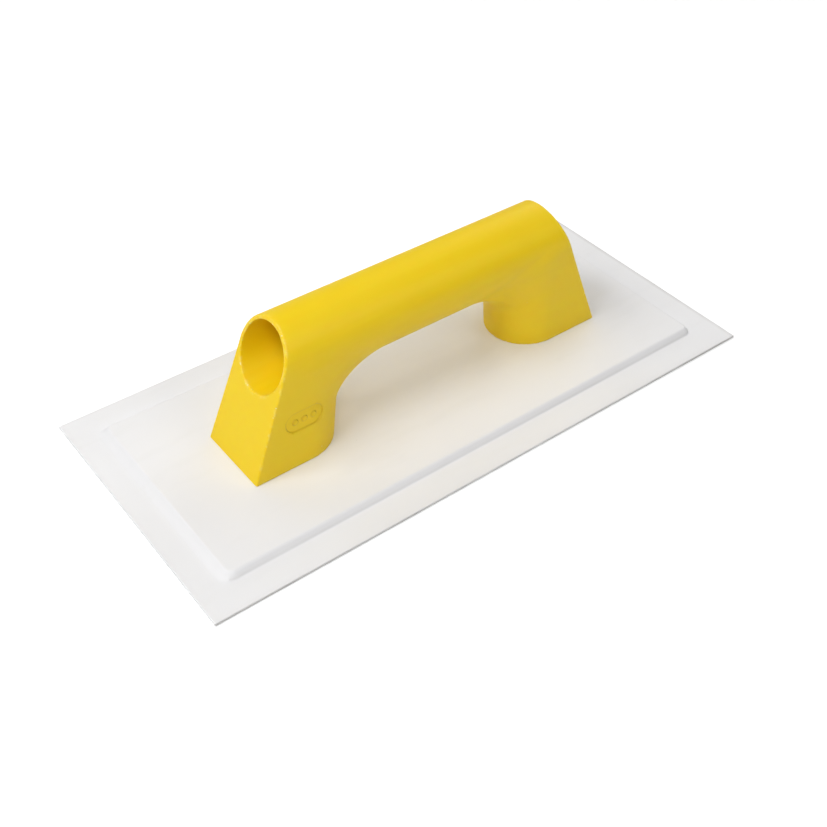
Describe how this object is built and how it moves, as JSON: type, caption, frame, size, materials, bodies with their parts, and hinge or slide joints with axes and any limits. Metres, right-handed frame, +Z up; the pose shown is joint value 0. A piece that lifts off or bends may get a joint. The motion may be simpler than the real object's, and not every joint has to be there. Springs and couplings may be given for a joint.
{
  "type": "plastering float",
  "caption": "Long flat plastic hand float: thin rectangular blade with a raised panel and a one-piece hollow arched handle with a round hole through its grip.",
  "frame": {"origin": "centre of the working face, on the underside of the blade", "axes": "+X along the blade and the grip, +Y across the blade, +Z up from the working face to the grip"},
  "size_m": [0.3, 0.14, 0.0714],
  "materials": {
    "blade_plastic": "satin",
    "handle_plastic": "satin",
    "board": "sanded",
    "screw_steel": "zinc plated"
  },
  "bodies": {
    "root": {"sole_sheet": "blade_plastic", "top_skin": "blade_plastic", "backing_board": "board", "handle": "handle_plastic", "screw_rear_inner": "screw_steel", "screw_rear_outer": "screw_steel", "screw_front_inner": "screw_steel", "screw_front_outer": "screw_steel"}
  },
  "joints": []
}
